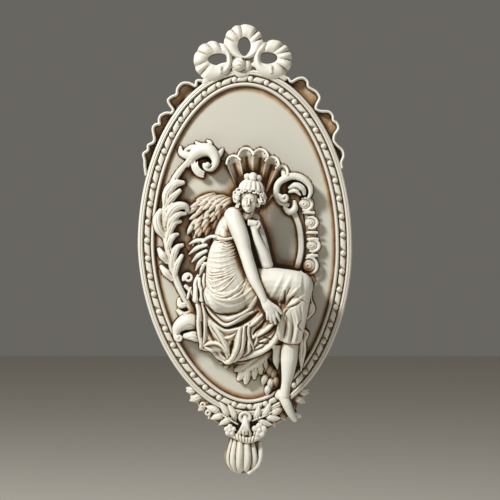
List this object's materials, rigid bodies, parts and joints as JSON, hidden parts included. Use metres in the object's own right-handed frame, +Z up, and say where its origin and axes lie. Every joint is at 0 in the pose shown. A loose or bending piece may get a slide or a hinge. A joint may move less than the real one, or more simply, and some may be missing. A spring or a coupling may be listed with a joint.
{
  "type": "angel wall sculpture",
  "caption": "Oval wall plaque in antiqued ivory resin: a seated winged lady in high relief on a scrolled chair, in a beaded frame with ribbon bow, garland and tassel.",
  "frame": {"origin": "on the flat back, at the centre of the oval, where the plaque bears on the wall", "axes": "+X to the viewer's right, +Y from the front into the wall, +Z up along the oval"},
  "size_m": [0.3009, 0.0933, 0.6324],
  "materials": {
    "resin": "cast ivory resin with a satin face and a brown antique wash left in the hollows"
  },
  "bodies": {
    "root": {"plaque": "resin"}
  },
  "joints": []
}
